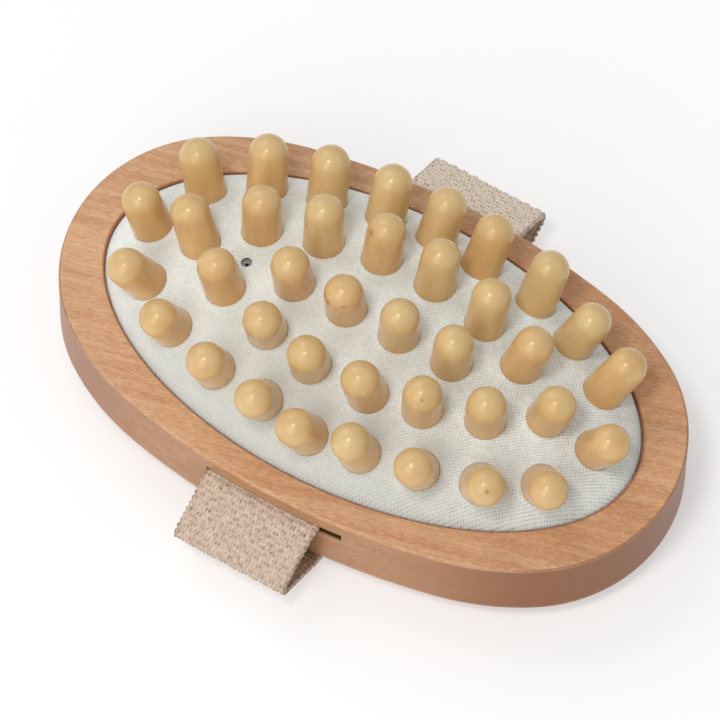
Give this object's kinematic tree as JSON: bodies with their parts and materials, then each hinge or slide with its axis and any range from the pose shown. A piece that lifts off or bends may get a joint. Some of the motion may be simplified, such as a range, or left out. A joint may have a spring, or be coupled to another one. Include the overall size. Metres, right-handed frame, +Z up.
{
  "type": "massage brush",
  "caption": "Hand-held oval wooden massage brush: rounded wooden pegs spring in a domed, cloth-faced air cushion, and a webbing hand strap runs under the back.",
  "frame": {"origin": "on the surface the brush rests on, the underside of its strap, below the middle of the back", "axes": "+X along the oval back, +Y across it, +Z up through the pegs"},
  "size_m": [0.1314, 0.1002, 0.0419],
  "materials": {
    "beech_back": "satin oiled beech, fine short flecks along its length",
    "peg_wood": "pale lacquered turned wood",
    "cushion_cloth": "off-white plain weave",
    "cushion_rubber": "matt rubber sheet",
    "strap_webbing": "natural cotton webbing, coarse raised weave",
    "staple_steel": "bright flat staple wire"
  },
  "bodies": {
    "back": {"wood_body": "beech_back", "cushion_cloth": "cushion_cloth", "cushion_rubber": "cushion_rubber", "hand_strap": "strap_webbing", "strap_staples": "staple_steel"},
    "peg_outer_01_body": {"peg_outer_01": "peg_wood"},
    "peg_outer_02_body": {"peg_outer_02": "peg_wood"},
    "peg_outer_03_body": {"peg_outer_03": "peg_wood"},
    "peg_outer_04_body": {"peg_outer_04": "peg_wood"},
    "peg_outer_05_body": {"peg_outer_05": "peg_wood"},
    "peg_outer_06_body": {"peg_outer_06": "peg_wood"},
    "peg_outer_07_body": {"peg_outer_07": "peg_wood"},
    "peg_outer_08_body": {"peg_outer_08": "peg_wood"},
    "peg_outer_09_body": {"peg_outer_09": "peg_wood"},
    "peg_outer_10_body": {"peg_outer_10": "peg_wood"},
    "peg_outer_11_body": {"peg_outer_11": "peg_wood"},
    "peg_outer_12_body": {"peg_outer_12": "peg_wood"},
    "peg_outer_13_body": {"peg_outer_13": "peg_wood"},
    "peg_outer_14_body": {"peg_outer_14": "peg_wood"},
    "peg_outer_15_body": {"peg_outer_15": "peg_wood"},
    "peg_outer_16_body": {"peg_outer_16": "peg_wood"},
    "peg_outer_17_body": {"peg_outer_17": "peg_wood"},
    "peg_outer_18_body": {"peg_outer_18": "peg_wood"},
    "peg_outer_19_body": {"peg_outer_19": "peg_wood"},
    "peg_outer_20_body": {"peg_outer_20": "peg_wood"},
    "peg_middle_01_body": {"peg_middle_01": "peg_wood"},
    "peg_middle_02_body": {"peg_middle_02": "peg_wood"},
    "peg_middle_03_body": {"peg_middle_03": "peg_wood"},
    "peg_middle_04_body": {"peg_middle_04": "peg_wood"},
    "peg_middle_05_body": {"peg_middle_05": "peg_wood"},
    "peg_middle_06_body": {"peg_middle_06": "peg_wood"},
    "peg_middle_07_body": {"peg_middle_07": "peg_wood"},
    "peg_middle_08_body": {"peg_middle_08": "peg_wood"},
    "peg_middle_09_body": {"peg_middle_09": "peg_wood"},
    "peg_middle_10_body": {"peg_middle_10": "peg_wood"},
    "peg_middle_11_body": {"peg_middle_11": "peg_wood"},
    "peg_middle_12_body": {"peg_middle_12": "peg_wood"},
    "peg_middle_13_body": {"peg_middle_13": "peg_wood"},
    "peg_middle_14_body": {"peg_middle_14": "peg_wood"},
    "peg_centre_01_body": {"peg_centre_01": "peg_wood"},
    "peg_centre_02_body": {"peg_centre_02": "peg_wood"},
    "peg_centre_03_body": {"peg_centre_03": "peg_wood"},
    "peg_centre_04_body": {"peg_centre_04": "peg_wood"}
  },
  "joints": [
    {"name": "press_outer_01", "type": "slide", "parent": "back", "child": "peg_outer_01_body", "axis": [-0.4351, 0.1336, -0.8904], "range_m": [0, 0.0025], "stiffness_N_per_m": 1500},
    {"name": "press_outer_02", "type": "slide", "parent": "back", "child": "peg_outer_02_body", "axis": [-0.3687, -0.4094, -0.8345], "range_m": [0, 0.0025], "stiffness_N_per_m": 1500},
    {"name": "press_outer_03", "type": "slide", "parent": "back", "child": "peg_outer_03_body", "axis": [-0.3376, -0.235, -0.9115], "range_m": [0, 0.0025], "stiffness_N_per_m": 1500},
    {"name": "press_outer_04", "type": "slide", "parent": "back", "child": "peg_outer_04_body", "axis": [-0.0708, -0.476, -0.8766], "range_m": [0, 0.0025], "stiffness_N_per_m": 1500},
    {"name": "press_outer_05", "type": "slide", "parent": "back", "child": "peg_outer_05_body", "axis": [-0.0658, -0.4673, -0.8817], "range_m": [0, 0.0025], "stiffness_N_per_m": 1500},
    {"name": "press_outer_06", "type": "slide", "parent": "back", "child": "peg_outer_06_body", "axis": [-0.0454, -0.4182, -0.9072], "range_m": [0, 0.0025], "stiffness_N_per_m": 1500},
    {"name": "press_outer_07", "type": "slide", "parent": "back", "child": "peg_outer_07_body", "axis": [0.0671, -0.4317, -0.8995], "range_m": [0, 0.0025], "stiffness_N_per_m": 1500},
    {"name": "press_outer_08", "type": "slide", "parent": "back", "child": "peg_outer_08_body", "axis": [0.1485, -0.4099, -0.9], "range_m": [0, 0.0025], "stiffness_N_per_m": 1500},
    {"name": "press_outer_09", "type": "slide", "parent": "back", "child": "peg_outer_09_body", "axis": [0.1965, -0.4082, -0.8915], "range_m": [0, 0.0025], "stiffness_N_per_m": 1500},
    {"name": "press_outer_10", "type": "slide", "parent": "back", "child": "peg_outer_10_body", "axis": [0.3522, -0.2611, -0.8988], "range_m": [0, 0.0025], "stiffness_N_per_m": 1500},
    {"name": "press_outer_11", "type": "slide", "parent": "back", "child": "peg_outer_11_body", "axis": [0.2769, 0.048, -0.9597], "range_m": [0, 0.0025], "stiffness_N_per_m": 1500},
    {"name": "press_outer_12", "type": "slide", "parent": "back", "child": "peg_outer_12_body", "axis": [0.3238, 0.3601, -0.8749], "range_m": [0, 0.0025], "stiffness_N_per_m": 1500},
    {"name": "press_outer_13", "type": "slide", "parent": "back", "child": "peg_outer_13_body", "axis": [0.1088, 0.4138, -0.9038], "range_m": [0, 0.0025], "stiffness_N_per_m": 1500},
    {"name": "press_outer_14", "type": "slide", "parent": "back", "child": "peg_outer_14_body", "axis": [0.0133, 0.393, -0.9195], "range_m": [0, 0.0025], "stiffness_N_per_m": 1500},
    {"name": "press_outer_15", "type": "slide", "parent": "back", "child": "peg_outer_15_body", "axis": [-0.0651, 0.5006, -0.8632], "range_m": [0, 0.0025], "stiffness_N_per_m": 1500},
    {"name": "press_outer_16", "type": "slide", "parent": "back", "child": "peg_outer_16_body", "axis": [0.0867, 0.426, -0.9006], "range_m": [0, 0.0025], "stiffness_N_per_m": 1500},
    {"name": "press_outer_17", "type": "slide", "parent": "back", "child": "peg_outer_17_body", "axis": [0.0651, 0.3375, -0.9391], "range_m": [0, 0.0025], "stiffness_N_per_m": 1500},
    {"name": "press_outer_18", "type": "slide", "parent": "back", "child": "peg_outer_18_body", "axis": [-0.1021, 0.4488, -0.8878], "range_m": [0, 0.0025], "stiffness_N_per_m": 1500},
    {"name": "press_outer_19", "type": "slide", "parent": "back", "child": "peg_outer_19_body", "axis": [-0.351, 0.424, -0.8349], "range_m": [0, 0.0025], "stiffness_N_per_m": 1500},
    {"name": "press_outer_20", "type": "slide", "parent": "back", "child": "peg_outer_20_body", "axis": [-0.3971, 0.4364, -0.8074], "range_m": [0, 0.0025], "stiffness_N_per_m": 1500},
    {"name": "press_middle_01", "type": "slide", "parent": "back", "child": "peg_middle_01_body", "axis": [-0.2737, 0.0957, -0.957], "range_m": [0, 0.0025], "stiffness_N_per_m": 1500},
    {"name": "press_middle_02", "type": "slide", "parent": "back", "child": "peg_middle_02_body", "axis": [-0.2464, -0.116, -0.9622], "range_m": [0, 0.0025], "stiffness_N_per_m": 1500},
    {"name": "press_middle_03", "type": "slide", "parent": "back", "child": "peg_middle_03_body", "axis": [-0.0442, -0.1828, -0.9822], "range_m": [0, 0.0025], "stiffness_N_per_m": 1500},
    {"name": "press_middle_04", "type": "slide", "parent": "back", "child": "peg_middle_04_body", "axis": [-0.0289, -0.2157, -0.976], "range_m": [0, 0.0025], "stiffness_N_per_m": 1500},
    {"name": "press_middle_05", "type": "slide", "parent": "back", "child": "peg_middle_05_body", "axis": [-0.0201, -0.1686, -0.9855], "range_m": [0, 0.0025], "stiffness_N_per_m": 1500},
    {"name": "press_middle_06", "type": "slide", "parent": "back", "child": "peg_middle_06_body", "axis": [0.0874, -0.181, -0.9796], "range_m": [0, 0.0025], "stiffness_N_per_m": 1500},
    {"name": "press_middle_07", "type": "slide", "parent": "back", "child": "peg_middle_07_body", "axis": [0.0612, -0.0899, -0.9941], "range_m": [0, 0.0025], "stiffness_N_per_m": 1500},
    {"name": "press_middle_08", "type": "slide", "parent": "back", "child": "peg_middle_08_body", "axis": [0.317, -0.0944, -0.9437], "range_m": [0, 0.0025], "stiffness_N_per_m": 1500},
    {"name": "press_middle_09", "type": "slide", "parent": "back", "child": "peg_middle_09_body", "axis": [0.1531, 0.1183, -0.9811], "range_m": [0, 0.0025], "stiffness_N_per_m": 1500},
    {"name": "press_middle_10", "type": "slide", "parent": "back", "child": "peg_middle_10_body", "axis": [-0.0602, 0.3164, -0.9467], "range_m": [0, 0.0025], "stiffness_N_per_m": 1500},
    {"name": "press_middle_11", "type": "slide", "parent": "back", "child": "peg_middle_11_body", "axis": [-0.0668, 0.305, -0.95], "range_m": [0, 0.0025], "stiffness_N_per_m": 1500},
    {"name": "press_middle_12", "type": "slide", "parent": "back", "child": "peg_middle_12_body", "axis": [0.0628, 0.2616, -0.9631], "range_m": [0, 0.0025], "stiffness_N_per_m": 1500},
    {"name": "press_middle_13", "type": "slide", "parent": "back", "child": "peg_middle_13_body", "axis": [-0.0874, 0.181, -0.9796], "range_m": [0, 0.0025], "stiffness_N_per_m": 1500},
    {"name": "press_middle_14", "type": "slide", "parent": "back", "child": "peg_middle_14_body", "axis": [-0.104, 0.1672, -0.9804], "range_m": [0, 0.0025], "stiffness_N_per_m": 1500},
    {"name": "press_centre_01", "type": "slide", "parent": "back", "child": "peg_centre_01_body", "axis": [-0.0757, 0.0992, -0.9922], "range_m": [0, 0.0025], "stiffness_N_per_m": 1500},
    {"name": "press_centre_02", "type": "slide", "parent": "back", "child": "peg_centre_02_body", "axis": [-0.082, 0.0498, -0.9954], "range_m": [0, 0.0025], "stiffness_N_per_m": 1500},
    {"name": "press_centre_03", "type": "slide", "parent": "back", "child": "peg_centre_03_body", "axis": [-0.0232, 0.1961, -0.9803], "range_m": [0, 0.0025], "stiffness_N_per_m": 1500},
    {"name": "press_centre_04", "type": "slide", "parent": "back", "child": "peg_centre_04_body", "axis": [0.032, 0.1483, -0.9884], "range_m": [0, 0.0025], "stiffness_N_per_m": 1500}
  ]
}
